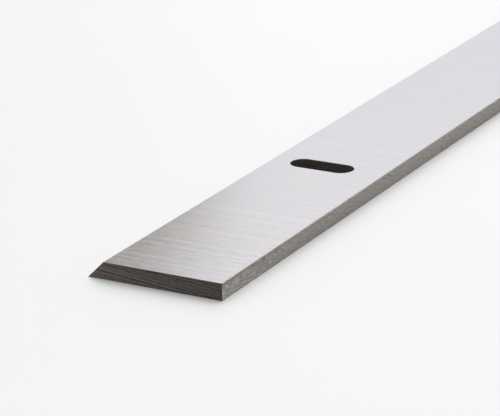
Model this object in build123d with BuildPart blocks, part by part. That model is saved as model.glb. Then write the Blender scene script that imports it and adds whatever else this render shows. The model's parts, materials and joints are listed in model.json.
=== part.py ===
"""A slotted planer knife, one bar of hardened tool steel ground on every face.

The knife lies flat, as it is set down on a bench. X runs along its length, +Y points to the
cutting edge and +Z is up. The origin is the middle of the flat underside.
"""

import math
import os

from build123d import *

# The bar, in millimetres
length = 260.0
width = 25.0
thickness = 3.0
edge_break = 0.1

# The cutting bevel, in degrees from the flat underside
bevel_angle = 45.0

# The adjusting slots, which run across the width and clear an M4 screw
slot_length = 12.0
slot_width = 4.5
slot_inset = 58.5
slot_from_back = 12.2
slot_break = 0.15

# Sizes that follow from those above
bevel_run = thickness / math.tan(math.radians(bevel_angle))
slot_spacing = length - 2 * slot_inset
back_y = -width / 2
edge_y = width / 2
slot_y = back_y + slot_from_back

with BuildPart() as planer_knife:
    # The section across the bar: the bevel falls from the top face to a keen edge at the underside
    with BuildSketch(Plane.YZ.offset(-length / 2)):
        with BuildLine():
            Polyline(
                (back_y, 0),
                (edge_y, 0),
                (edge_y - bevel_run, thickness),
                (back_y, thickness),
                close=True,
            )
        make_face()
    extrude(amount=length)

    # The back and the ends have their burr taken off, and the cutting edge stays keen
    back_edges = planer_knife.faces().sort_by(Axis.Y)[0].edges()
    end_edges = planer_knife.faces().filter_by(Axis.Z).edges().filter_by(Axis.Y)
    chamfer(back_edges + end_edges, edge_break)

    # One slot near each end, a little nearer the back than the middle and open through the bar
    with BuildSketch(Plane((0, slot_y, 0))):
        with GridLocations(slot_spacing, 0, 2, 1):
            SlotOverall(slot_length, slot_width, rotation=90)
    extrude(amount=thickness, mode=Mode.SUBTRACT)

    # Both mouths of each slot have a light break too
    slot_mouths = planer_knife.edges(Select.LAST).filter_by(Axis.Z, reverse=True)
    chamfer(slot_mouths, slot_break)

planer_knife.part.label = "planer_knife"

os.makedirs("parts", exist_ok=True)
export_step(planer_knife.part, "parts/planer_knife.step")
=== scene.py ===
import json
import math

import bmesh
import bpy
import numpy as np
from mathutils import Matrix, Vector


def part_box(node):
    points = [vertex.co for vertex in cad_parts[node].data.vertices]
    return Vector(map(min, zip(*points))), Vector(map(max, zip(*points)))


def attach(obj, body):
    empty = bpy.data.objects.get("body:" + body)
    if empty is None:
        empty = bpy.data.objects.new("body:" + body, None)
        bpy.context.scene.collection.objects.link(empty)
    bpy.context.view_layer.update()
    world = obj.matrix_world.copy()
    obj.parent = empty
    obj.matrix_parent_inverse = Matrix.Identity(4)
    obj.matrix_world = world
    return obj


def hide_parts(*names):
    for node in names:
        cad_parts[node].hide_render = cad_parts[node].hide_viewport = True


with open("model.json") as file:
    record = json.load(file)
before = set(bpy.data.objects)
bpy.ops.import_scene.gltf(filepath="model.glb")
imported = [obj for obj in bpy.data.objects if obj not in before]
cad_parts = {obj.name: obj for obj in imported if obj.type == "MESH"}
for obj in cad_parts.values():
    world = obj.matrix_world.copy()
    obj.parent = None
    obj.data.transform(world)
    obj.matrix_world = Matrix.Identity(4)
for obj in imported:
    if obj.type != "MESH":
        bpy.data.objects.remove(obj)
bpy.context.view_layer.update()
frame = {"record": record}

# THE BAR
# One bar of hardened tool steel, ground flat on both faces, with a cutting bevel ground along one
# edge. Its other edges have only their burr taken off by hand, so that break is never quite even.
# Its sizes are in millimetres.
MM = 0.001
bar_low, bar_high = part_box("planer_knife")
half_length = round(bar_high.x / MM, 3)
back_y = round(bar_low.y / MM, 3)
cutting_y = round(bar_high.y / MM, 3)
thickness = round(bar_high.z / MM, 3)
bevel_angle = 45.0
bevel_run = thickness / math.tan(math.radians(bevel_angle))
bevel_top_y = cutting_y - bevel_run

# The broken edges, and by how much of its size each one strays
corner_break = 0.13
end_break = 0.08
break_spread = 0.25
corner_seeds, end_seeds = (11, 12), (21, 22)

# The mesh: steps round a break, and rings about one step apart along the bar. Across the bar there
# are cells from the back to the slots' middle and from there to the bevel, and more up the back.
arc_steps = 4
face_step = 1.0
low_cells, high_cells, side_cells = 14, 11, 16
smooth_limit = math.radians(10.0)
merge_distance = 0.001 * MM

# The slots come from the record. Round each, a block of both faces has a mesh that fits the slot.
slots = [m for m in frame["record"]["mounts"] if m["kind"] == "bolt_pattern"]
slot_x = sorted(m["pos_m"][0] / MM for m in slots)
slot_y = slots[0]["pos_m"][1] / MM
slot_radius = slots[0]["dims"]["hole_r_mm"]
slot_straight = slots[0]["dims"]["slot_length_mm"] / 2 - slot_radius
slot_break = 0.15
block_half, block_cells, block_rings, wall_cells = 9.0, 28, 9, 8
ring_crowding = 1.4


def wander(t, seed, waves=8, shortest=1.1, longest=45.0):
    """A smooth random line from -1 to 1 along t, in millimetres: a sum of sines with their
    wavelengths spread evenly in proportion from the longest to the shortest."""
    rng = np.random.default_rng(seed)
    wavelength = np.geomspace(longest, shortest, waves)
    turn, size = rng.uniform(0, 2 * np.pi, waves), rng.uniform(0.5, 1.0, waves)
    total = sum(s * np.sin(2 * np.pi * t / w + p) for w, p, s in zip(wavelength, turn, size))
    return total / size.sum()


def sides(start, stop, cells):
    """Even stations from start up to, but not including, stop."""
    return np.linspace(start, stop, cells, endpoint=False)


def mitre(a, b):
    """How far a corner between two faces moves, for one unit along both of their normals a and b."""
    a, b = np.array(a, float), np.array(b, float)
    return (a + b) / (1 + a @ b)


def back_corner(z, way, angles):
    """A back corner's arc: each point starts at the sharp corner, and one unit of break moves it by
    (1 - cos, -way (1 - sin)). Its normal is (-cos, way sin). way is 1 at the top, -1 underneath."""
    c, s = np.cos(angles), np.sin(angles)
    place = np.tile([back_y, z], (len(angles), 1))
    return place, np.stack([1 - c, -way * (1 - s)], 1), np.stack([-c, way * s], 1)


def straight_run(y, z, out):
    """Points on a straight side of the section, all with one normal and no movement by the break."""
    place = np.stack(np.broadcast_arrays(y, z), 1).astype(float)
    return place, np.zeros_like(place), np.tile(np.array(out, float), (len(place), 1))


# The section runs up the back, across the top, down the bevel and back along the underside. It
# starts halfway round the lower back corner, so that an end face's grid has its corners there too.
arc = np.linspace(0, np.pi / 2, arc_steps + 1)
half_arc = arc_steps // 2
bevel_cells = side_cells + 2 * half_arc
bevel_out = np.array([thickness, bevel_run]) / math.hypot(thickness, bevel_run)
flat_y = [np.r_[sides(back_y, slot_y, low_cells)[1:], np.linspace(slot_y, far, high_cells + 1)]
          for far in (bevel_top_y, cutting_y)]
down_bevel = sides(0, 1, bevel_cells)[1:]
runs = [
    back_corner(0, -1, arc[half_arc::-1]),
    straight_run(back_y, thickness * sides(0, 1, side_cells)[1:], (-1, 0)),
    back_corner(thickness, 1, arc),
    straight_run(flat_y[0][:-1], thickness, (0, 1)),
    straight_run([bevel_top_y], thickness, mitre((0, 1), bevel_out)),
    straight_run(bevel_top_y + bevel_run * down_bevel, thickness * (1 - down_bevel), bevel_out),
    straight_run([cutting_y], 0.0, mitre((0, -1), bevel_out)),
    straight_run(flat_y[1][-2::-1], 0.0, (0, -1)),
    back_corner(0, -1, arc[:half_arc - 1:-1]),
]
place, shift, out = (np.concatenate(parts) for parts in zip(*runs))
back_top = half_arc + side_cells
top_start = back_top + 2 * half_arc
top_middle = back_top + half_arc
top_stop = top_start + low_cells + high_cells
edge_at = top_stop + bevel_cells
under_stop = edge_at + low_cells + high_cells

# Stations along the bar: rings that round off the ends, and between them even steps, closer in the
# two blocks that hold the slots.
x_reach = half_length - end_break * (1 + break_spread)
face_x, block_rows, x_from = [], [], -x_reach
for x in slot_x:
    face_x += [sides(x_from, x - block_half, round((x - block_half - x_from) / face_step))]
    block_rows += [arc_steps + sum(map(len, face_x))]
    face_x += [sides(x - block_half, x + block_half, block_cells)]
    x_from = x + block_half
last_steps = round((x_reach - x_from) / face_step)
face_x = np.concatenate(face_x + [np.linspace(x_from, x_reach, last_steps + 1)])


def skin():
    """The bar's outside, x by section. Between the ends a point is its place in the section plus the
    corner's break times its shift. At an end, as a goes from 0 to 90 degrees, it is set back from
    the end face by 1 - sin a and in from the side faces by 1 - cos a, both times the end's break,
    which strays with y + 3 z."""
    turn = arc[:0:-1]
    around = place @ [1, 3]
    left, right = (end_break * (1 + break_spread * wander(around, seed)) for seed in end_seeds)
    middle = np.tile(face_x[:, None], (1, len(place)))
    x = np.concatenate([
        -half_length + np.outer(1 - np.sin(turn), left),
        middle,
        half_length - np.outer(1 - np.sin(turn[::-1]), right),
    ])
    inward = np.concatenate([
        np.outer(1 - np.cos(turn), left), np.zeros_like(middle), np.outer(1 - np.cos(turn[::-1]), right)
    ])
    upper = (np.arange(len(place)) > back_top // 2) & (np.arange(len(place)) < edge_at)
    top_line, under_line = (wander(x, seed) for seed in corner_seeds)
    corner = corner_break * (1 + break_spread * np.where(upper, top_line, under_line))
    yz = place + corner[..., None] * shift - inward[..., None] * out
    return np.concatenate([x[..., None], yz], 2)


def end_face(ring):
    """A flat end filled between the last ring's four sides: a point is the two blends between facing
    sides, added together, less the blend of the four corners."""
    low, high = ring[-1:edge_at - 1:-1], ring[top_middle:top_stop + 1]
    back, bevel = ring[:top_middle + 1], ring[edge_at:top_stop - 1:-1]
    u = np.linspace(0, 1, len(low))[:, None, None]
    v = np.linspace(0, 1, len(back))[None, :, None]
    corners = (1 - u) * ((1 - v) * low[0] + v * high[0]) + u * ((1 - v) * low[-1] + v * high[-1])
    return (1 - v) * low[:, None] + v * high[:, None] + (1 - u) * back[None] + u * bevel[None] - corners


def slot_outline():
    """The slot's wall seen from above, from its +X middle and anticlockwise: in each quarter a
    straight side, then an arc, at even steps. Returns places and normals, one per block edge point."""
    quarters = []
    ways = (high_cells, 1, 1), (high_cells, -1, 1), (low_cells, -1, -1), (low_cells, 1, -1)
    for cells, way_x, way_y in ways:
        run = np.linspace(0, slot_straight + slot_radius * np.pi / 2, cells + block_cells // 2 + 1)
        run = run if way_x * way_y > 0 else run[::-1]
        turn = np.maximum(run - slot_straight, 0) / slot_radius
        normal = np.stack([way_x * np.cos(turn), way_y * np.sin(turn)], 1)
        middle = np.stack([0 * run, way_y * np.minimum(run, slot_straight)], 1)
        quarters += [np.concatenate([middle + slot_radius * normal, normal], 1)[:-1]]
    points = np.concatenate(quarters)
    return points[:, :2], points[:, 2:]


def block_edge(block):
    """The edge of a block of the skin, from its +X side's middle and anticlockwise."""
    loop = np.concatenate([block[-1, :-1], block[:0:-1, -1], block[0, :0:-1], block[:-1, 0]])
    return np.roll(loop, -low_cells, axis=0)


def closed(loop):
    """The same loop with its first point again at the end."""
    return np.concatenate([loop, loop[:1]])


def around_slot(block, mouth):
    """The flat face round a slot: straight lines from the mouth to the block's edge, in even steps
    raised to a power, so that the rings stand closer near the mouth."""
    t = (np.linspace(0, 1, block_rings + 1) ** ring_crowding)[:, None, None]
    return (1 - t) * closed(mouth) + t * closed(block_edge(block))


def slot_wall(x, base, normal):
    """The slot's wall: its outline carried down through the bar, opened out by a quarter circle of
    the break at both mouths."""
    round_off = slot_break * (1 - np.cos(arc[::-1]))
    depth = slot_break * (1 - np.sin(arc[::-1]))
    wall_z = np.linspace(thickness - slot_break, slot_break, wall_cells + 1)[1:-1]
    z = np.r_[thickness - depth, wall_z, depth[::-1]]
    wide = np.r_[round_off, 0 * wall_z, round_off[::-1]]
    xy = closed(base)[None] + wide[:, None, None] * closed(normal)[None] + [x, slot_y]
    return np.concatenate([xy, np.broadcast_to(z[:, None, None], xy.shape[:2] + (1,))], 2)


# The finishes have the numbers of their materials, in the order in which these are added below.
FACE, BEVEL, BACK, END, SLOT, BREAK = range(6)
surface = skin()
finish = np.full((surface.shape[0] - 1, surface.shape[1] - 1), BREAK)
finish[:, half_arc:back_top] = BACK
finish[:, top_start:top_stop] = FACE
finish[:, top_stop:edge_at] = BEVEL
finish[:, edge_at:under_stop] = FACE
for ring in (slice(0, arc_steps), slice(-arc_steps, None)):
    finish[ring, :edge_at] = END
    finish[ring, edge_at:] = BREAK
patches = [(end_face(surface[0]), END), (end_face(surface[-1]), END)]
base, normal = slot_outline()
for x, row in zip(slot_x, block_rows):
    rows = slice(row, row + block_cells + 1)
    wall = slot_wall(x, base, normal)
    patches += [(wall, SLOT)]
    patches += [(around_slot(surface[rows, top_start:top_stop + 1], wall[0, :-1]), FACE)]
    patches += [(around_slot(surface[rows, under_stop:edge_at - 1:-1], wall[-1, :-1]), FACE)]
    for columns in (slice(top_start, top_stop), slice(edge_at, under_stop)):
        finish[row:row + block_cells, columns] = -1
patches += [(surface, finish)]


def knife_mesh(name, patches):
    """One closed mesh of grids of points in millimetres, whose shared edges are merged. Each grid has
    one finish, or one for each of its faces, where -1 leaves the face out. Edges are crisp where the
    finish changes or the surface turns by the limit."""
    points, quads, kinds, first = [], [], [], 0
    for grid, kind in patches:
        rows, columns = grid.shape[:2]
        i = first + np.arange(rows * columns).reshape(rows, columns)
        quad = np.stack([i[:-1, :-1], i[1:, :-1], i[1:, 1:], i[:-1, 1:]], -1)
        kind = np.broadcast_to(kind, quad.shape[:2])
        points, quads = points + [grid.reshape(-1, 3)], quads + [quad[kind >= 0]]
        kinds, first = kinds + [kind[kind >= 0]], first + rows * columns
    mesh = bpy.data.meshes.new(name)
    mesh.from_pydata(np.concatenate(points) * MM, [], np.concatenate(quads))
    mesh.polygons.foreach_set("material_index", np.concatenate(kinds).astype(np.int32))
    bm = bmesh.new()
    bm.from_mesh(mesh)
    bmesh.ops.remove_doubles(bm, verts=bm.verts, dist=merge_distance)
    bmesh.ops.recalc_face_normals(bm, faces=bm.faces)
    for edge in bm.edges:
        same_finish = len({face.material_index for face in edge.link_faces}) == 1
        edge.smooth = same_finish and edge.calc_face_angle() < smooth_limit
    bm.to_mesh(mesh)
    bm.free()
    return mesh


knife = bpy.data.objects.new("ground_knife", knife_mesh("ground_knife", patches))
bpy.context.scene.collection.objects.link(knife)
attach(knife, "root")
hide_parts("planer_knife")


class Wire:
    """An output of a node. Arithmetic on wires and numbers adds the Math nodes for it."""

    def __init__(self, socket):
        self.socket = socket

    def make(self, kind, settings=None, inputs=None, output=0):
        """Adds a node of one kind: its settings first, then a value or a wire for each input."""
        node = self.socket.id_data.nodes.new(kind)
        for name, value in (settings or {}).items():
            setattr(node, name, value)
        for name, value in (inputs or {}).items():
            if isinstance(value, Wire):
                self.socket.id_data.links.new(value.socket, node.inputs[name])
            else:
                node.inputs[name].default_value = value
        return Wire(node.outputs[output])

    def maths(self, operation, *values):
        return self.make("ShaderNodeMath", {"operation": operation}, dict(enumerate(values)))

    def __add__(self, other):
        return self.maths("ADD", self, other)

    def __sub__(self, other):
        return self.maths("SUBTRACT", self, other)

    def __mul__(self, other):
        return self.maths("MULTIPLY", self, other)

    def __rsub__(self, other):
        return self.maths("SUBTRACT", other, self)

    __radd__, __rmul__ = __add__, __mul__

    def ramp(self, low=0.3, high=0.7):
        """0 below low, 1 above high, smooth between. By default it spans most values of a noise."""
        settings = {"interpolation_type": "SMOOTHSTEP"}
        inputs = {"Value": self, "From Min": low, "From Max": high}
        return self.make("ShaderNodeMapRange", settings, inputs)

    def blend(self, a, b):
        """The colour a where the wire is 0, and b where it is 1."""
        return self.make("ShaderNodeMix", {"data_type": "RGBA"}, {0: self, 6: a, 7: b}, output=2)

    def along(self, direction):
        """How far this place, or this direction, reaches along another."""
        settings, inputs = {"operation": "DOT_PRODUCT"}, {0: self, 1: direction}
        return self.make("ShaderNodeVectorMath", settings, inputs, "Value")

    def turned(self, *degrees):
        """This place turned by an angle about each axis."""
        angles = [math.radians(angle) for angle in degrees]
        return self.make("ShaderNodeMapping", None, {"Vector": self, "Rotation": angles})

    def marks(self, per_mm, seed, detail=3.0, roughness=0.55):
        """Noise at this place, with so many marks in a millimetre along each axis."""
        inputs = {"Vector": self, "Scale": [n / MM for n in per_mm], "Location": (seed, -seed, 2 * seed)}
        squeezed = self.make("ShaderNodeMapping", None, inputs)
        inputs = {"Vector": squeezed, "Scale": 1.0, "Detail": detail, "Roughness": roughness}
        return self.make("ShaderNodeTexNoise", None, inputs)

    def lines(self, per_mm, fades_per_mm, seed):
        """Three sets of straight lines laid over each other, each finer than the last. Each set fades
        in and out on its own."""
        total = 0.5
        for step, finer in enumerate((1.0, 1.45, 2.1)):
            line = self.marks([finer * n for n in per_mm], seed + 2 * step, detail=1.0)
            fade = self.marks([finer * n for n in fades_per_mm], seed + 2 * step + 1, detail=1.0)
            total = total + (line - 0.5) * fade.ramp(0.3, 0.65)
        return total


def shade(red, green, blue):
    """The colour that shows as these levels of 0 to 255."""
    shown = np.array([red, green, blue]) / 255
    return (*np.where(shown > 0.04045, ((shown + 0.055) / 1.055) ** 2.4, shown / 12.92), 1.0)


def steel(name, metallic):
    """A new material on the knife. Returns its shader node and its place wire."""
    material = bpy.data.materials.new(name)
    material.use_nodes = True
    shader = material.node_tree.nodes["Principled BSDF"]
    shader.inputs["Metallic"].default_value = metallic
    knife.data.materials.append(material)
    return shader, Wire(shader.outputs["BSDF"]).make("ShaderNodeTexCoord", output="Object")


def dress(shader, colour, roughness, height, depth):
    """Joins a finish to its shader: colour, roughness, and a relief of a height from 0 to 1 times a
    depth in millimetres."""
    inputs = {"Height": height, "Strength": 1.0, "Distance": depth * MM}
    relief = height.make("ShaderNodeBump", None, inputs)
    for name, wire in (("Base Color", colour), ("Roughness", roughness), ("Normal", relief)):
        shader.id_data.links.new(wire.socket, shader.inputs[name])


# Both faces are surface ground across the width, a little out of square. The lines are straight and
# fade in and out. They are deepest near the ends, where the wheel runs on and off the bar.
wheel_lean = -0.6
runs_on, runs_off = 85.0, 127.0
middle_grain, end_grain = 0.15, 0.43
shader, at = steel("ground_face", 1.0)
reach = at.along((1 / MM, 0, 0))
ends = reach.maths("ABSOLUTE", reach).ramp(runs_on, runs_off)
askew = at.turned(0, 0, wheel_lean)
lines = askew.lines((0.68, 0.001, 1.0), (0.5, 0.2, 1.0), seed=73.0)
lines = lines + 1.2 * (askew.marks((3.0, 0.4, 1.0), seed=91.0) - 0.5)
grain = (0.5 + (lines - 0.5) * (middle_grain + ends * end_grain)).ramp()
warm = grain.blend(shade(207, 206, 205), shade(225, 224, 223))
cool = grain.blend(shade(206, 206, 208), shade(224, 224, 226))
colour = at.marks((0.04, 0.06, 1.0), seed=61.0, detail=1.0).ramp().blend(warm, cool)
dress(shader, colour, roughness=0.135 + grain * 0.03, height=grain, depth=0.002)

# The bevel is ground down its slope with a finer wheel.
shader, at = steel("ground_bevel", 1.0)
scratches = at.marks((6.0, 0.15, 0.15), seed=13.0, detail=4.0, roughness=0.6)
colour = scratches.ramp().blend(shade(190, 187, 184), shade(202, 199, 196))
dress(shader, colour, roughness=0.2 + scratches * 0.12, height=scratches, depth=0.004)

# The back edge is ground along its length with a coarser wheel, so it is duller and grainy, most
# of all near the ends. Near the ends its colour is also painted lighter low down, a painted
# reflection of light from below, and lighter at the corners, a painted highlight on the corner
# edge. It has a few dark specks from setting screws.
grain_and_sheen_from, grain_and_sheen_to = 100.0, 128.0
sheen_height, sheen_strength = 1.4, 0.08
shader, at = steel("back_edge", 1.0)
reach = at.along((1 / MM, 0, 0))
reach = reach.maths("ABSOLUTE", reach)
ends = reach.ramp(grain_and_sheen_from, grain_and_sheen_to)
corner_highlight_mask = reach.ramp(half_length - 0.8, half_length - 0.2)
height = at.along((0, 0, 1 / MM))
lines = at.lines((0.01, 1.0, 2.4), (0.5, 1.0, 1.5), seed=62.0)
scratches = at.marks((0.9, 6.0, 6.0), seed=31.0, detail=5.0, roughness=0.75)
scratches = scratches + (lines - 0.5) * (0.1 + ends * 0.3)
# Painted reflection: lighter low down near the ends. Painted highlight: lighter at the corners.
painted_sheen = (sheen_height - height) * ends * sheen_strength + corner_highlight_mask * sheen_strength
wear_and_sheen = (0.5 + (scratches - 0.5) * (0.85 + ends) + painted_sheen).ramp(0.34, 0.66)
wear_and_sheen = wear_and_sheen.blend(shade(100, 95, 90), shade(176, 171, 165))
specks = at.marks((1.2, 1.6, 1.6), seed=27.0, detail=1.0).ramp(0.7, 0.76)
colour = specks.blend(wear_and_sheen, shade(92, 86, 82))
dress(shader, colour, roughness=0.3 + scratches * 0.3, height=scratches, depth=0.005)

# The ends are cut off and left brown and dull by the hardening. The cut's lines lean a little. They
# are dark along the top edge, and lighter towards the cutting edge and low down.
cut_lean = -5.0
rim_dark = 0.4
plain_light, edge_light, low_light = 0.74, 0.58, 0.8
shader, at = steel("cut_end", 0.0)
height = at.along((0, 0, 1 / MM))
lines = 0.75 * at.turned(cut_lean, 0, 0).lines((1.0, 0.005, 4.0), (1.0, 0.4, 1.6), seed=41.0)
lines = lines + 0.25 * at.marks((2.0, 2.0, 6.0), seed=34.0)
rim = height.ramp(thickness - 1.2, thickness - 0.2)
low_down = 1 - height.ramp(0.0, 2.0)
towards_edge = at.along((0, 1 / MM, 0)).ramp(-16.0, 16.0)
level = lines.ramp(0.38, 0.62) * (1 - rim * rim_dark)
level = level * (plain_light + towards_edge * (edge_light + low_down * low_light))
brown = level.blend(shade(21, 15, 9), shade(98, 87, 75))
slate = level.blend(shade(22, 18, 14), shade(94, 86, 78))
stain = at.marks((0.1, 0.12, 0.3), seed=35.0, detail=2.0).ramp(0.35, 0.65)
dress(shader, stain.blend(brown, slate), roughness=0.45 + lines * 0.2, height=lines, depth=0.012)

# The slots' walls are milled before the hardening, which leaves them dark with scale. Their colour
# is darker still than the cut ends, almost black: a painted shade for the hollow of the slot.
shader, at = steel("slot_wall", 0.0)
lines = at.marks((1.0, 1.0, 4.0), seed=43.0)
colour = lines.ramp().blend(shade(34, 29, 24), shade(56, 50, 43))
dress(shader, colour, roughness=0.5 + lines * 0.1, height=lines, depth=0.004)

# The broken edges are bright where the stone went over them.
shader, at = steel("stoned_edge", 1.0)
strokes = at.marks((1.5, 1.5, 1.5), seed=53.0)
colour = strokes.ramp().blend(shade(160, 158, 156), shade(190, 188, 186))
dress(shader, colour, roughness=0.35 + strokes * 0.2, height=strokes, depth=0.003)

# THE STAGE
# A sheet of white paper under the knife, in a white room with a soft lamp high behind it, which the
# steel doesn't mirror. The sizes of the sheet and the lamp are in metres.
floor_half = 3.0
corners = [(-1, -1), (1, -1), (1, 1), (-1, 1)]
floor_mesh = bpy.data.meshes.new("floor")
floor_mesh.from_pydata([(x * floor_half, y * floor_half, 0) for x, y in corners], [], [(0, 1, 2, 3)])
floor = bpy.data.objects.new("floor", floor_mesh)
bpy.context.scene.collection.objects.link(floor)
paper = bpy.data.materials.new("paper")
paper.use_nodes = True
paper_shader = paper.node_tree.nodes["Principled BSDF"]
paper_shader.inputs["Base Color"].default_value = shade(249, 250, 250)
paper_shader.inputs["Roughness"].default_value = 0.3
paper_shader.inputs["Specular IOR Level"].default_value = 0.1
floor_mesh.materials.append(paper)

# The room is white. The steel mirrors it a little cool low down and a little warm high up, and the
# near end of the top face mirrors a dark corner of it, behind the cutting edge.
world = bpy.data.worlds.new("room")
bpy.context.scene.world = world
world.use_nodes = True
background = world.node_tree.nodes["Background"]
rays = Wire(background.outputs["Background"])
mirrored = rays.make("ShaderNodeLightPath", output="Is Glossy Ray")
seen = mirrored + rays.make("ShaderNodeLightPath", output="Is Camera Ray")
seen = seen + rays.make("ShaderNodeLightPath", output="Is Transmission Ray")
white = (1, 1, 1, 1)
cool_low, warm_high = (0.94, 0.944, 1.014, 1), (1.072, 1.042, 1.052, 1)
warms_from, warms_to = 0.28, 0.35
corner_grey = (0.21, 0.19, 0.17, 1)
corner_heading, corner_height = math.radians(36.3), math.radians(16.55)
corner_reach, corner_core = math.radians(6.9), math.radians(6.1)
to_corner = (math.cos(corner_heading) * math.cos(corner_height),
             math.sin(corner_heading) * math.cos(corner_height), math.sin(corner_height))
outward = rays.make("ShaderNodeTexCoord", output="Generated")
corner = outward.along(to_corner).ramp(math.cos(corner_reach), math.cos(corner_core)) * mirrored
tint = outward.along((0, 0, 1)).ramp(warms_from, warms_to).blend(cool_low, warm_high)
room = corner.blend(mirrored.blend(white, tint), corner_grey)
room_light = 0.64
strength = room_light + (1 - room_light) * seen.maths("MINIMUM", seen, 1.0)
world.node_tree.links.new(room.socket, background.inputs["Color"])
world.node_tree.links.new(strength.socket, background.inputs["Strength"])

key_data = bpy.data.lights.new("key", "AREA")
key_data.shape = "DISK"
key_data.size = 2.0
key_data.energy = 18.0
key = bpy.data.objects.new("key", key_data)
bpy.context.scene.collection.objects.link(key)
key.visible_glossy = False
key_distance = 1.8
towards_key = Vector((0.5, 0.15, 0.85)).normalized()
key.location = towards_key * key_distance
key.rotation_mode = "QUATERNION"
key.rotation_quaternion = towards_key.to_track_quat("Z", "Y")

# The camera looks down along the knife from beyond its near end, on the back edge's side.
picture_width = 500
focal_pixels = 2636.77
stand = Vector((-467.17, -204.55, 153.49)) * MM
heading, dip, lean = math.radians(28.975), math.radians(19.564), math.radians(-1.110)
camera_data = bpy.data.cameras.new("camera")
camera_data.lens = camera_data.sensor_width * focal_pixels / picture_width
camera_data.clip_start, camera_data.clip_end = 0.01, 20.0
camera = bpy.data.objects.new("camera", camera_data)
bpy.context.scene.collection.objects.link(camera)
turn = Matrix.Rotation(heading - math.pi / 2, 4, "Z") @ Matrix.Rotation(math.pi / 2 - dip, 4, "X")
camera.matrix_world = Matrix.Translation(stand) @ turn @ Matrix.Rotation(lean, 4, "Z")
bpy.context.scene.camera = camera
bpy.context.scene.view_settings.view_transform = "Standard"
